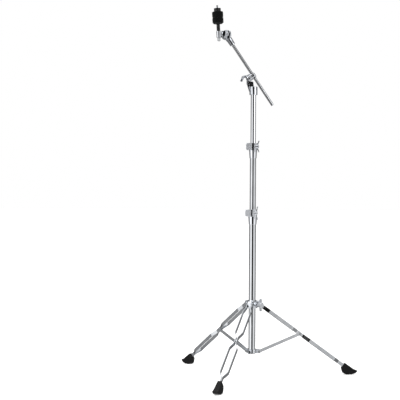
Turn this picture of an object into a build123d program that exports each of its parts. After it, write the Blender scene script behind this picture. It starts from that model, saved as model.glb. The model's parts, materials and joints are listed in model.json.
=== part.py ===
from build123d import *
import os
from math import atan2, cos, degrees, radians, sin, sqrt

# Cymbal boom stand: a chromed steel tripod of folding strap legs, three telescoping tubes with
# two wing nut clamps, and a boom rod in a ratchet holder that ends in a tilter with felts.
# Millimetres, +Z up. Z = 0 is the floor. The origin lies under the middle of the stand's
# bounding box, so the column stands at (column_x, 0). Leg 1 points along +X, and the boom leans
# towards -X.

# ---- fits: radial or face gaps between neighbours
running_clearance = 0.05
seat_clearance = 0.05
bolt_clearance = 0.1
face_clearance = 0.1
strap_clearance = 0.35
felt_clearance = 0.35
tab_clearance = 0.2

# ---- folding legs
leg_count = 3
leg_angles = [i * 360 / leg_count for i in range(leg_count)]
leg_slope = 35.9
hinge_radius = 26.0
leg_length = 390.0
pinch_length = 188.2
brace_length = 164.4
strap_width = 12.5
strap_thickness = 2.5
strap_spread = 14.0
strap_bend_radius = 12.0
hinge_flat_length = 20.0
hinge_bend_length = 22.0
pinch_flat_half = 14.0
pinch_bend_length = 24.0
toe_flat_length = 23.0
toe_bend_length = 22.0
strap_in_foot = 34.0
brace_width = 10.5
brace_thickness = 3.0
brace_gap = 0.3
rivet_radius = 2.5
rivet_head_radius = 4.8
rivet_head_height = 1.6
head_taper = 15.0

# ---- rubber feet
foot_mouth_height = 33.0
foot_mouth_half = 11.7
foot_top_length = 42.0
foot_tip_reach = 53.5
foot_tip_height = 14.0
foot_nose_reach = 48.5
foot_nose_height = 6.5
foot_sole_start = 10.0
foot_sole_end = 30.0
foot_heel_height = 5.5
foot_top_width = 15.0
foot_bottom_width = 22.5
foot_rounding = 2.0

# ---- leg collar, which slides on the base tube
collar_radius = 19.0
collar_neck_radius = 15.5
collar_top_above_pivot = 14.4
collar_shoulder_above_pivot = 7.0
collar_bottom_below_pivot = 14.5
lug_thickness = 12.0
lug_reach = 33.0
lug_half_height = 12.0
collar_pin_radius = 3.0
collar_pin_head_radius = 5.0
collar_pin_head_height = 1.8
collar_bolt_angle = -60.0
collar_boss_radius = 9.0
collar_boss_reach = 30.0
collar_wing_start = 38.0
collar_hub_radius = 10.0
collar_hub_length = 14.0
collar_wing_span = 45.0

# ---- bottom hub, fixed to the lower end of the base tube
hub_radius = 17.0
hub_below_pivot = 4.0
hub_above_pivot = 9.5
hub_ear_reach = 31.5
hub_ear_thickness = 3.0
hub_ear_below_pivot = 6.5
hub_ear_above_pivot = 9.0
hub_ear_rounding = 4.0
hub_rivet_above_pivot = 3.0
hub_pin_radius = 2.5
hub_pin_head_radius = 4.5
hub_pin_head_height = 1.5
hub_rivet_radius = 2.0
hub_rivet_head_radius = 3.6
hub_rivet_head_height = 1.5
hub_rivet_angles = [angle + 180 / leg_count for angle in leg_angles]
plug_flange_height = 2.5
plug_spigot_length = 14.0

# ---- telescoping tubes
tube_wall = 1.2
base_tube_radius = 25.4 / 2
middle_tube_radius = 22.2 / 2
upper_tube_radius = 19.1 / 2
base_tube_length = 495.0
middle_tube_length = 458.5
middle_tube_showing = 239.0
upper_tube_length = 444.0
upper_tube_showing = 221.0
neck_down_length = 18.0
neck_down_depth = 0.9
guide_ring_length = 16.0

# ---- tube clamps
clamp_wall = 3.1
bushing_wall = 2.7
tab_root = 0.7
tab_end_inset = 0.5
band_height = 25.0
tube_in_band = 3.0
skirt_height = 29.3
skirt_top_step = 1.0
skirt_foot_wall = 1.5
ear_reach = 30.0
ear_root = 6.0
ear_thickness = 5.0
ear_rounding = 2.5
block_width = 21.5
block_rounding = 4.5
lower_gap = 5.0
upper_gap = 7.0
lower_ear_angle = -109.0
upper_ear_angle = -103.0
bolt_radius = 4.0
bolt_reach = 22.5
bolt_head_radius = 6.4
bolt_head_height = 5.0
bolt_end_chamfer = 0.8
bolt_end_past_nut = 1.5
washer_radius = 7.2
washer_thickness = 1.2
bushing_slit = 1.5

# ---- wing nuts of the clamps
nut_hub_radius = 7.0
nut_hub_length = 10.0
wing_thickness = 4.0
wing_root_rise = 1.5
wing_tip_rise = 2.5
wing_tip_height = 10.0
swept_root_rise = 3.6
swept_knee_reach = 17.0
swept_knee_rise = 8.0
swept_tip_rise = 9.2
swept_tip_height = 4.4
wing_end_chamfer = 1.2
wing_tip_rounding = 2.5
lower_wing_span = 48.0
upper_wing_span = 42.0

# ---- boom holder on top of the upper tube
ferrule_radius = 14.5
ferrule_below_tube_top = 24.2
ferrule_cap = 4.6
holder_pivot_left = 15.8
holder_pivot_above_tube = 36.0
holder_arm_front = -9.0
holder_arm_thickness = 8.0
ratchet_radius = 13.0
tooth_count = 24
tooth_height = 1.0
tooth_width = 1.2
tooth_length = 4.0
cushion_top_radius = 9.0
cushion_top_left = 9.9
cushion_foot_radius = 7.6
cushion_foot_left = 6.9
cushion_height = 18.0
cushion_rounding = 1.0
head_depth = 18.4
head_disc_thickness = 3.0
head_pivot_rounding = 6.0
head_half_length = 9.5
head_below_pivot = 13.0
head_above_rod = 8.6
head_nose_rounding = 6.0
head_slit = 2.0
head_rounding = 3.0
holder_hub_radius = 7.0
holder_hub_length = 21.0
holder_blade_start = 15.7
holder_blade_thickness = 5.0
holder_blade_turn = 7.0
holder_shank_end = 2.0
blade_reach = 27.5
blade_shoulder = 19.0
blade_droop = 8.5
blade_crown = 8.0
blade_width = 8.6
blade_bend_radius = 8.0
blade_tip_rounding = 3.0
arm_width = 6.6
arm_bend_radius = 11.0
arm_left = 23.0
arm_foot_inset = 2.0
arm_foot_below_tube_top = 14.0
arm_knee_above_tube_top = 15.5

# ---- boom rod
rod_radius = 5.25
rod_lean = 34.75
rod_offset = 11.5
rod_plane_y = -20.5
rod_tail_length = 128.0
rod_bushing_wall = 1.0
socket_start = 130.4
socket_length = 27.0
socket_depth = 22.0
socket_mouth_radius = 9.6
socket_root_radius = 10.8
socket_web_width = 19.0
rod_chamfer = 0.8

# ---- tilter at the upper end of the rod
tilter_distance = 173.3
tilter_lean = 3.5
tilter_disc_radius = 17.0
tilter_disc_thickness = 9.0
tilter_bolt_radius = 3.0
tilter_swing_gap = 0.6
tilter_web_thickness = 7.5
stem_offset = 27.4
post_radius = 8.0
post_below = 9.0
post_above = 14.2
post_nub_radius = 5.2
post_nub_length = 12.0
tilter_hub_radius = 6.0
tilter_hub_length = 10.0
tilter_wing_span = 33.0
tilter_wing_angle = 45.0

# ---- cymbal seat
stem_core_radius = 4.0
stud_radius = 3.0
stud_root_radius = 2.5
sleeve_radius = 6.2
sleeve_length = 26.3
sleeve_upper_radius = 5.2
sleeve_top_gap = 3.0
cup_radius = 16.0
cup_height = 2.2
felt_radius = 20.0
felt_height = 20.4
top_washer_radius = 12.0
top_washer_thickness = 1.5
top_nut_radius = 12.2
top_nut_height = 10.0
stud_past_nut = 11.0
stud_chamfer = 0.8
lock_nut_thread = 8.0
nut_flute_count = 12
nut_flute_radius = 1.2

# ---- heights and places worked out from the sizes above
slope_cos = cos(radians(leg_slope))
slope_sin = sin(radians(leg_slope))
collar_pivot_z = foot_mouth_height + leg_length * slope_sin
pinch_run = pinch_length * slope_cos
pinch_radius = hinge_radius + pinch_run
pinch_z = collar_pivot_z - pinch_length * slope_sin
hub_pivot_z = pinch_z - sqrt(brace_length**2 - pinch_run**2)
brace_slope = degrees(atan2(pinch_z - hub_pivot_z, pinch_run))
foot_mouth_radius = hinge_radius + leg_length * slope_cos
foot_tip_radius = foot_mouth_radius + foot_tip_reach
foot_half_width = foot_bottom_width / 2
rear_extent = foot_tip_radius * cos(radians(60)) + foot_half_width * sin(radians(60))
column_x = (rear_extent - foot_tip_radius) / 2

hub_bottom_z = hub_pivot_z - hub_below_pivot
hub_rivet_z = hub_pivot_z + hub_rivet_above_pivot
base_tube_top = hub_bottom_z + base_tube_length
middle_tube_top = base_tube_top + middle_tube_showing
upper_tube_top = middle_tube_top + upper_tube_showing
middle_tube_bottom = middle_tube_top - middle_tube_length
upper_tube_bottom = upper_tube_top - upper_tube_length

strap_inset = lug_thickness / 2 + strap_clearance + strap_thickness / 2
pinch_inset = brace_thickness / 2 + brace_gap + strap_thickness / 2
toe_inset = strap_thickness / 2 + face_clearance
strap_end = leg_length + strap_in_foot

column_axis = Axis((column_x, 0, 0), (0, 0, 1))
column_section = Plane((column_x, 0, 0), x_dir=(1, 0, 0), z_dir=(0, -1, 0))

rod_cos = cos(radians(rod_lean))
rod_sin = sin(radians(rod_lean))
rod_axis = Vector(-rod_sin, 0, rod_cos)
rod_side = Vector(rod_cos, 0, rod_sin)
holder_pivot_z = upper_tube_top + holder_pivot_above_tube
holder_pivot = Vector(column_x - holder_pivot_left, 0, holder_pivot_z)
rod_centre = holder_pivot + rod_side * rod_offset + Vector(0, rod_plane_y, 0)

tilter_up = Vector(-sin(radians(tilter_lean)), 0, cos(radians(tilter_lean)))
tilter_side = Vector(cos(radians(tilter_lean)), 0, sin(radians(tilter_lean)))
tilter_centre = rod_centre + rod_axis * tilter_distance
stem_foot = tilter_centre - tilter_side * stem_offset

os.makedirs("parts", exist_ok=True)


def level(height):
    """Level plane on the column's axis."""
    return Plane((column_x, 0, height), x_dir=(1, 0, 0), z_dir=(0, 0, 1))


def facing(angle, height, reach):
    """Upright plane that faces away from the column; its x runs sideways and its y runs up."""
    outward = Vector(cos(radians(angle)), sin(radians(angle)), 0)
    sideways = Vector(-sin(radians(angle)), cos(radians(angle)), 0)
    return Plane(Vector(column_x, 0, height) + outward * reach, x_dir=sideways, z_dir=outward)


def across(angle, height, reach, side):
    """Upright plane square to `facing`, `side` along its x; its own x runs up."""
    outward = Vector(cos(radians(angle)), sin(radians(angle)), 0)
    sideways = Vector(-sin(radians(angle)), cos(radians(angle)), 0)
    place = Vector(column_x, 0, height) + outward * reach + sideways * side
    return Plane(place, x_dir=(0, 0, 1), z_dir=sideways)


def leg_side(angle):
    """Upright plane through the column and one leg; x is the radius and y the height."""
    outward = Vector(cos(radians(angle)), sin(radians(angle)), 0)
    normal = Vector(sin(radians(angle)), -cos(radians(angle)), 0)
    return Plane((column_x, 0, 0), x_dir=outward, z_dir=normal)


def along_leg(angle):
    """Plane through a leg's centre line, seen from above; x runs down the leg from its hinge."""
    down = Vector(cos(radians(angle)) * slope_cos, sin(radians(angle)) * slope_cos, -slope_sin)
    upward = Vector(cos(radians(angle)) * slope_sin, sin(radians(angle)) * slope_sin, slope_cos)
    hinge = facing(angle, collar_pivot_z, hinge_radius).origin
    return Plane(hinge, x_dir=down, z_dir=upward)


def make_hinge_pins(height, half_grip, pin_radius, head_radius, head_height):
    """One headed pin for each leg, at the hinge radius."""
    with BuildPart() as pins:
        for angle in leg_angles:
            with BuildSketch(across(angle, height, hinge_radius, 0)):
                Circle(pin_radius)
            extrude(amount=half_grip, both=True)
            for side in (-1, 1):
                with BuildSketch(across(angle, height, hinge_radius, side * half_grip)):
                    Circle(head_radius)
                extrude(amount=side * head_height, taper=head_taper)
    return pins


def make_strap(angle, side):
    """Flat bar of one leg: it bows out from its hinge, pinches on the brace and ends in the foot."""
    stations = [
        (-strap_width / 2, strap_inset),
        (hinge_flat_length, strap_inset),
        (hinge_flat_length + hinge_bend_length, strap_spread),
        (pinch_length - pinch_flat_half - pinch_bend_length, strap_spread),
        (pinch_length - pinch_flat_half, pinch_inset),
        (pinch_length + pinch_flat_half, pinch_inset),
        (pinch_length + pinch_flat_half + pinch_bend_length, strap_spread),
        (leg_length - toe_flat_length - toe_bend_length, strap_spread),
        (leg_length - toe_flat_length, toe_inset),
        (strap_end, toe_inset),
    ]
    half = strap_thickness / 2
    inner = [(run, side * (offset - half)) for run, offset in stations]
    outer = [(run, side * (offset + half)) for run, offset in stations]
    sideways = Vector(-sin(radians(angle)), cos(radians(angle)), 0)
    with BuildPart() as strap:
        with BuildSketch(along_leg(angle)):
            with BuildLine():
                FilletPolyline(*inner, radius=strap_bend_radius)
                FilletPolyline(*outer, radius=strap_bend_radius)
                Line(inner[0], outer[0])
                Line(inner[-1], outer[-1])
            make_face()
        extrude(amount=strap_width / 2, both=True)
        ends = strap.edges().filter_by(Axis((0, 0, 0), sideways))
        top_ends = ends.sort_by(Axis((0, 0, 0), along_leg(angle).x_dir))[:2]
        fillet(top_ends, radius=strap_width / 2 - face_clearance)
        with BuildSketch(across(angle, collar_pivot_z, hinge_radius, 0)):
            Circle(collar_pin_radius + bolt_clearance)
        extrude(amount=side * 2 * strap_spread, mode=Mode.SUBTRACT)
        with BuildSketch(across(angle, pinch_z, pinch_radius, 0)):
            Circle(rivet_radius + seat_clearance)
        extrude(amount=side * 2 * strap_spread, mode=Mode.SUBTRACT)
    return strap


def make_pinch_rivets(angle):
    """The two headed halves of the rivet at a leg's pinch, one in each strap."""
    outer_face = pinch_inset + strap_thickness / 2
    with BuildPart() as rivets:
        for side in (-1, 1):
            with BuildSketch(across(angle, pinch_z, pinch_radius, side * outer_face)):
                Circle(rivet_head_radius)
            extrude(amount=side * rivet_head_height, taper=head_taper)
            with BuildSketch(across(angle, pinch_z, pinch_radius, side * outer_face)):
                Circle(rivet_radius)
            extrude(amount=-side * strap_thickness)
    return rivets


def make_brace(angle):
    """Straight flat bar from the bottom hub up to a leg's pinch."""
    with BuildPart() as brace:
        with BuildSketch(leg_side(angle)):
            with Locations(((hinge_radius + pinch_radius) / 2, (hub_pivot_z + pinch_z) / 2)):
                SlotCenterToCenter(brace_length, brace_width, rotation=brace_slope)
        extrude(amount=brace_thickness / 2, both=True)
        with BuildSketch(leg_side(angle)):
            with Locations((hinge_radius, hub_pivot_z)):
                Circle(hub_pin_radius + bolt_clearance)
            with Locations((pinch_radius, pinch_z)):
                Circle(rivet_radius + bolt_clearance)
        extrude(amount=brace_thickness, both=True, mode=Mode.SUBTRACT)
    return brace


def make_foot(angle):
    """Moulded rubber shoe with a flat sole and a pocket for the two strap ends."""
    mouth_top = (
        foot_mouth_radius + foot_mouth_half * slope_sin,
        foot_mouth_height + foot_mouth_half * slope_cos,
    )
    outline = [
        (
            foot_mouth_radius - foot_mouth_half * slope_sin,
            foot_mouth_height - foot_mouth_half * slope_cos,
        ),
        mouth_top,
        (mouth_top[0] + foot_top_length * slope_cos, mouth_top[1] - foot_top_length * slope_sin),
        (foot_tip_radius, foot_tip_height),
        (foot_mouth_radius + foot_nose_reach, foot_nose_height),
        (foot_mouth_radius + foot_sole_end, 0),
        (foot_mouth_radius + foot_sole_start, 0),
        (foot_mouth_radius, foot_heel_height),
    ]
    section = [
        (-foot_top_width / 2, mouth_top[1]),
        (foot_top_width / 2, mouth_top[1]),
        (foot_bottom_width / 2, foot_tip_height),
        (foot_bottom_width / 2, 0),
        (-foot_bottom_width / 2, 0),
        (-foot_bottom_width / 2, foot_tip_height),
    ]
    pocket_width = 2 * (toe_inset + strap_thickness / 2 + seat_clearance)
    with BuildPart() as foot:
        with BuildSketch(leg_side(angle)):
            Polygon(*outline, align=None)
        extrude(amount=foot_bottom_width, both=True)
        with BuildSketch(facing(angle, 0, foot_mouth_radius - foot_mouth_half)):
            Polygon(*section, align=None)
        extrude(amount=foot_tip_reach + 2 * foot_mouth_half, mode=Mode.INTERSECT)
        soft_edges = [edge for edge in foot.edges() if edge.center().Z > foot_heel_height]
        fillet(soft_edges, radius=foot_rounding)
        with BuildSketch(along_leg(angle).offset(-strap_width / 2 - seat_clearance)):
            with Locations((leg_length, 0)):
                Rectangle(2 * strap_in_foot + 2 * seat_clearance, pocket_width)
        extrude(amount=strap_width + 2 * seat_clearance, mode=Mode.SUBTRACT)
    return foot


def make_wing_nut(base, hub_size, hub_length, inner_edge, tip_height, hole_radius):
    """Round hub on a bolt, with two wings. Their inner edge runs out from the hub through points
    given as a distance from the bolt and a rise above the seat."""
    root_rise = inner_edge[0][1]
    reach, tip_rise = inner_edge[-1]
    tip_rounding = min(wing_tip_rounding, tip_height / 3)
    with BuildPart() as nut:
        with BuildSketch(base):
            Circle(hub_size)
        extrude(amount=hub_length)
        chamfer(nut.faces().sort_by(Axis(base.origin, base.z_dir))[-1].edges(), length=wing_end_chamfer)
        with BuildSketch(Plane(base.origin, x_dir=base.x_dir, z_dir=-base.y_dir)):
            with BuildLine():
                Polyline(
                    (0, root_rise),
                    *inner_edge,
                    (reach, tip_rise + tip_height),
                    (hub_size, hub_length - wing_end_chamfer),
                    (0, hub_length - wing_end_chamfer),
                    close=True,
                )
            make_face()
            fillet(vertices().group_by(Axis.X)[-1], radius=tip_rounding)
            mirror(about=Plane.YZ)
        extrude(amount=wing_thickness / 2, both=True)
        with BuildSketch(base):
            Circle(hole_radius)
        extrude(amount=hub_length, mode=Mode.SUBTRACT)
    return nut


def make_wing_bolt(base, hub_size, hub_length, span, shank_radius, shank_length):
    """Flat wings whose hub carries a shank, which runs back through the clamped pieces."""
    inner_edge = [(hub_size, wing_root_rise), (span / 2, wing_tip_rise)]
    head = make_wing_nut(base, hub_size, hub_length, inner_edge, wing_tip_height, shank_radius)
    with BuildPart() as bolt:
        add(head.part)
        with BuildSketch(base.offset(-shank_length)):
            Circle(shank_radius)
        extrude(amount=shank_length + hub_length)
    return bolt


def make_clamp(tube_top, tube_radius, inner_radius, gap, angle):
    """Split band round the moving tube, with a skirt down the fixed tube and two bolt ears."""
    band_bottom = tube_top - tube_in_band
    band_top = band_bottom + band_height
    bolt_z = band_bottom + band_height / 2
    bore_radius = inner_radius + bushing_wall + seat_clearance
    band_radius = bore_radius + clamp_wall
    skirt_bore = tube_radius + seat_clearance
    past_ears = ear_reach + band_radius
    with BuildPart() as clamp:
        with BuildSketch(column_section):
            Polygon(
                (0, band_bottom - skirt_height),
                (tube_radius + skirt_foot_wall, band_bottom - skirt_height),
                (band_radius - skirt_top_step, band_bottom),
                (band_radius, band_bottom),
                (band_radius, band_top),
                (0, band_top),
                align=None,
            )
        revolve(axis=column_axis)
        with BuildSketch(facing(angle, bolt_z, ear_root)):
            with Locations((-gap / 2, 0)):
                Rectangle(block_width, band_height, align=(Align.MAX, Align.CENTER))
            fillet(vertices().group_by(Axis.X)[0], radius=block_rounding)
            with Locations((gap / 2, 0)):
                Rectangle(ear_thickness, band_height, align=(Align.MIN, Align.CENTER))
        extrude(amount=ear_reach - ear_root)
        outward = facing(angle, bolt_z, 0).z_dir
        front = clamp.faces().filter_by(Axis((0, 0, 0), outward)).sort_by(Axis((0, 0, 0), outward))
        fillet([edge for face in front[-2:] for edge in face.edges()], radius=ear_rounding / 2)
        with BuildSketch(column_section):
            Polygon(
                (0, band_bottom - skirt_height),
                (skirt_bore, band_bottom - skirt_height),
                (skirt_bore, tube_top),
                (bore_radius, tube_top),
                (bore_radius, band_top),
                (0, band_top),
                align=None,
            )
        revolve(axis=column_axis, mode=Mode.SUBTRACT)
        with BuildSketch(facing(angle, bolt_z, 0)):
            Rectangle(gap, band_height)
        extrude(amount=past_ears, mode=Mode.SUBTRACT)
        with BuildSketch(across(angle, bolt_z, bolt_reach, 0)):
            Circle(bolt_radius + bolt_clearance)
        extrude(amount=block_width + gap, both=True, mode=Mode.SUBTRACT)
        with BuildSketch(across(angle, bolt_z, bolt_reach, -gap / 2 - block_width)):
            Circle(bolt_head_radius + bolt_clearance)
        extrude(amount=bolt_head_height + face_clearance, mode=Mode.SUBTRACT)
    return clamp


def make_clamp_bushing(tube_top, inner_radius, gap, angle):
    """Nylon ring inside a clamp's band, slit at the back, with a tab that fills the ears' gap."""
    band_bottom = tube_top - tube_in_band
    bolt_z = band_bottom + band_height / 2
    outer_radius = inner_radius + bushing_wall
    ring_height = band_height - tube_in_band - 2 * seat_clearance
    with BuildPart() as bushing:
        with BuildSketch(level(tube_top + seat_clearance)):
            Circle(outer_radius)
            Circle(inner_radius, mode=Mode.SUBTRACT)
        extrude(amount=ring_height)
        with BuildSketch(facing(angle, bolt_z, outer_radius - tab_root)):
            Rectangle(gap - 2 * tab_clearance, band_height - 2 * tab_end_inset)
        extrude(amount=ear_reach - outer_radius)
        with BuildSketch(facing(angle + 180, bolt_z, 0)):
            Rectangle(bushing_slit, band_height)
        extrude(amount=2 * outer_radius, mode=Mode.SUBTRACT)
        with BuildSketch(across(angle, bolt_z, bolt_reach, 0)):
            Circle(bolt_radius + bolt_clearance)
        extrude(amount=gap, both=True, mode=Mode.SUBTRACT)
    return bushing


def make_clamp_bolt(tube_top, gap, angle):
    """Hexagon bolt across the ears of a clamp, long enough for its wing nut."""
    bolt_z = tube_top - tube_in_band + band_height / 2
    head_face = -gap / 2 - block_width
    nut_end = gap / 2 + ear_thickness + washer_thickness + face_clearance + nut_hub_length
    shank_length = nut_end + bolt_end_past_nut - head_face - bolt_head_height
    with BuildPart() as bolt:
        with BuildSketch(across(angle, bolt_z, bolt_reach, head_face)):
            RegularPolygon(bolt_head_radius, 6)
        extrude(amount=bolt_head_height)
        with BuildSketch(across(angle, bolt_z, bolt_reach, head_face + bolt_head_height)):
            Circle(bolt_radius)
        extrude(amount=shank_length)
        bolt_line = Axis((0, 0, 0), across(angle, bolt_z, 0, 0).z_dir)
        chamfer(bolt.faces().sort_by(bolt_line)[-1].edges(), length=bolt_end_chamfer)
    return bolt


def make_clamp_washer(tube_top, gap, angle):
    """Flat washer between a clamp's right ear and its wing nut."""
    bolt_z = tube_top - tube_in_band + band_height / 2
    with BuildPart() as washer:
        with BuildSketch(across(angle, bolt_z, bolt_reach, gap / 2 + ear_thickness)):
            Circle(washer_radius)
            Circle(bolt_radius + bolt_clearance, mode=Mode.SUBTRACT)
        extrude(amount=washer_thickness)
    return washer


def make_clamp_wing_nut(tube_top, gap, angle, span):
    """Wing nut of a tube clamp, with its wings upright at rest."""
    bolt_z = tube_top - tube_in_band + band_height / 2
    seat = gap / 2 + ear_thickness + washer_thickness + face_clearance
    base = across(angle, bolt_z, bolt_reach, seat)
    inner_edge = [
        (nut_hub_radius, swept_root_rise),
        (swept_knee_reach, swept_knee_rise),
        (span / 2, swept_tip_rise),
    ]
    hole_radius = bolt_radius + running_clearance
    return make_wing_nut(
        base, nut_hub_radius, nut_hub_length, inner_edge, swept_tip_height, hole_radius
    )


def make_inner_tube(bottom, length, radius):
    """Steel tube whose lower end is necked down to carry a guide ring."""
    neck_radius = radius - neck_down_depth
    with BuildPart() as tube:
        with BuildSketch(column_section):
            Polygon(
                (neck_radius - tube_wall, bottom),
                (neck_radius, bottom),
                (neck_radius, bottom + neck_down_length - 1),
                (radius, bottom + neck_down_length),
                (radius, bottom + length),
                (radius - tube_wall, bottom + length),
                (radius - tube_wall, bottom + neck_down_length),
                (neck_radius - tube_wall, bottom + neck_down_length - 1),
                align=None,
            )
        revolve(axis=column_axis)
    return tube


def make_guide_ring(bottom, radius, outer_tube_radius):
    """Nylon ring that turns on a tube's necked end and slides in the tube outside it."""
    with BuildPart() as ring:
        with BuildSketch(level(bottom + face_clearance)):
            Circle(outer_tube_radius - tube_wall - running_clearance)
            Circle(radius - neck_down_depth + running_clearance, mode=Mode.SUBTRACT)
        extrude(amount=guide_ring_length)
    return ring


def make_end_plug(bottom, radius):
    """Nylon plug that closes a tube's necked end and keeps its guide ring on."""
    spigot_radius = radius - neck_down_depth - tube_wall - seat_clearance
    with BuildPart() as plug:
        with BuildSketch(level(bottom - plug_flange_height)):
            Circle(radius)
        extrude(amount=plug_flange_height)
        with BuildSketch(level(bottom)):
            Circle(spigot_radius)
        extrude(amount=plug_spigot_length)
    return plug


def make_ratchet_teeth(face, outer_radius):
    """Ring of radial ridges that stand on a ratchet face."""
    with BuildPart() as teeth:
        with BuildSketch(face):
            with PolarLocations(outer_radius - tooth_length / 2, tooth_count):
                Rectangle(tooth_length, tooth_width)
        extrude(amount=tooth_height)
    return teeth.part


# ======== base: tube, hub and lower clamp ========
with BuildPart() as base_tube:
    with BuildSketch(level(hub_bottom_z)):
        Circle(base_tube_radius)
        Circle(base_tube_radius - tube_wall, mode=Mode.SUBTRACT)
    extrude(amount=base_tube_length)
    for angle in hub_rivet_angles:
        with BuildSketch(facing(angle, hub_rivet_z, 0)):
            Circle(hub_rivet_radius + seat_clearance)
        extrude(amount=base_tube_radius + 1, mode=Mode.SUBTRACT)
base_tube.part.label = "base_tube"
export_step(base_tube.part, "parts/base_tube.step")

with BuildPart() as base_end_plug:
    with BuildSketch(level(hub_bottom_z - plug_flange_height)):
        Circle(base_tube_radius)
    extrude(amount=plug_flange_height)
    with BuildSketch(level(hub_bottom_z)):
        Circle(base_tube_radius - tube_wall - seat_clearance)
    extrude(amount=plug_spigot_length)
base_end_plug.part.label = "base_end_plug"
export_step(base_end_plug.part, "parts/base_end_plug.step")

with BuildPart() as bottom_hub:
    with BuildSketch(level(hub_bottom_z)):
        Circle(hub_radius)
    extrude(amount=hub_below_pivot + hub_above_pivot)
    ear_foot = hinge_radius - base_tube_radius - 1
    for angle in leg_angles:
        for side in (-1, 1):
            inner_face = side * (brace_thickness / 2 + brace_gap)
            with BuildSketch(across(angle, hub_pivot_z, hinge_radius, inner_face)):
                Polygon(
                    (-hub_ear_below_pivot, -ear_foot),
                    (-hub_ear_below_pivot, hub_ear_reach - hinge_radius),
                    (hub_ear_above_pivot, hub_ear_reach - hinge_radius),
                    (hub_ear_above_pivot, -ear_foot),
                    align=None,
                )
                fillet(vertices().group_by(Axis.Y)[-1], radius=hub_ear_rounding)
            extrude(amount=side * hub_ear_thickness)
    with BuildSketch(level(hub_bottom_z - hub_ear_below_pivot)):
        Circle(base_tube_radius + seat_clearance)
    extrude(amount=hub_below_pivot + hub_above_pivot + hub_ear_below_pivot, mode=Mode.SUBTRACT)
    for angle in leg_angles:
        with BuildSketch(across(angle, hub_pivot_z, hinge_radius, 0)):
            Circle(hub_pin_radius + seat_clearance)
        extrude(amount=2 * hub_ear_thickness, both=True, mode=Mode.SUBTRACT)
    for angle in hub_rivet_angles:
        with BuildSketch(facing(angle, hub_rivet_z, 0)):
            Circle(hub_rivet_radius + seat_clearance)
        extrude(amount=hub_radius + 1, mode=Mode.SUBTRACT)
bottom_hub.part.label = "bottom_hub"
export_step(bottom_hub.part, "parts/bottom_hub.step")

hub_half_grip = brace_thickness / 2 + brace_gap + hub_ear_thickness
hub_hinge_pins = make_hinge_pins(
    hub_pivot_z, hub_half_grip, hub_pin_radius, hub_pin_head_radius, hub_pin_head_height
)
hub_hinge_pins.part.label = "hub_hinge_pins"
export_step(hub_hinge_pins.part, "parts/hub_hinge_pins.step")

with BuildPart() as hub_rivets:
    rivet_root = base_tube_radius - tube_wall
    for angle in hub_rivet_angles:
        with BuildSketch(facing(angle, hub_rivet_z, rivet_root)):
            Circle(hub_rivet_radius)
        extrude(amount=hub_radius - rivet_root)
        with BuildSketch(facing(angle, hub_rivet_z, hub_radius)):
            Circle(hub_rivet_head_radius)
        extrude(amount=hub_rivet_head_height, taper=head_taper)
hub_rivets.part.label = "hub_rivets"
export_step(hub_rivets.part, "parts/hub_rivets.step")

middle_bore = middle_tube_radius + running_clearance
upper_bore = upper_tube_radius + running_clearance
clamp_sets = [
    ("lower", base_tube_top, base_tube_radius, middle_bore, lower_gap, lower_ear_angle, lower_wing_span),
    ("upper", middle_tube_top, middle_tube_radius, upper_bore, upper_gap, upper_ear_angle, upper_wing_span),
]
for name, tube_top, tube_radius, bore, gap, angle, span in clamp_sets:
    clamp = make_clamp(tube_top, tube_radius, bore, gap, angle)
    clamp.part.label = f"{name}_clamp"
    export_step(clamp.part, f"parts/{name}_clamp.step")

    clamp_bushing = make_clamp_bushing(tube_top, bore, gap, angle)
    clamp_bushing.part.label = f"{name}_clamp_bushing"
    export_step(clamp_bushing.part, f"parts/{name}_clamp_bushing.step")

    clamp_bolt = make_clamp_bolt(tube_top, gap, angle)
    clamp_bolt.part.label = f"{name}_clamp_bolt"
    export_step(clamp_bolt.part, f"parts/{name}_clamp_bolt.step")

    clamp_washer = make_clamp_washer(tube_top, gap, angle)
    clamp_washer.part.label = f"{name}_clamp_washer"
    export_step(clamp_washer.part, f"parts/{name}_clamp_washer.step")

    clamp_wing_nut = make_clamp_wing_nut(tube_top, gap, angle, span)
    clamp_wing_nut.part.label = f"{name}_clamp_wing_nut"
    export_step(clamp_wing_nut.part, f"parts/{name}_clamp_wing_nut.step")

# ======== folding legs ========
collar_bottom_z = collar_pivot_z - collar_bottom_below_pivot
collar_top_z = collar_pivot_z + collar_top_above_pivot
with BuildPart() as leg_collar:
    with BuildSketch(column_section):
        Polygon(
            (0, collar_bottom_z),
            (collar_radius, collar_bottom_z),
            (collar_radius, collar_pivot_z + collar_shoulder_above_pivot),
            (collar_neck_radius, collar_top_z),
            (0, collar_top_z),
            align=None,
        )
    revolve(axis=column_axis)
    for angle in leg_angles:
        with BuildSketch(leg_side(angle)):
            with Locations((base_tube_radius, collar_pivot_z)):
                Rectangle(
                    lug_reach - base_tube_radius, 2 * lug_half_height, align=(Align.MIN, Align.CENTER)
                )
            fillet(vertices().group_by(Axis.X)[-1], radius=lug_half_height / 2)
        extrude(amount=lug_thickness / 2, both=True)
    with BuildSketch(facing(collar_bolt_angle, collar_pivot_z, 0)):
        Circle(collar_boss_radius)
    extrude(amount=collar_boss_reach)
    with BuildSketch(level(collar_bottom_z)):
        Circle(base_tube_radius + bolt_clearance)
    extrude(amount=collar_top_z - collar_bottom_z, mode=Mode.SUBTRACT)
    with BuildSketch(facing(collar_bolt_angle, collar_pivot_z, 0)):
        Circle(bolt_radius + running_clearance)
    extrude(amount=collar_boss_reach, mode=Mode.SUBTRACT)
    for angle in leg_angles:
        with BuildSketch(across(angle, collar_pivot_z, hinge_radius, 0)):
            Circle(collar_pin_radius + seat_clearance)
        extrude(amount=lug_thickness, both=True, mode=Mode.SUBTRACT)
leg_collar.part.label = "leg_collar"
export_step(leg_collar.part, "parts/leg_collar.step")

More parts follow.
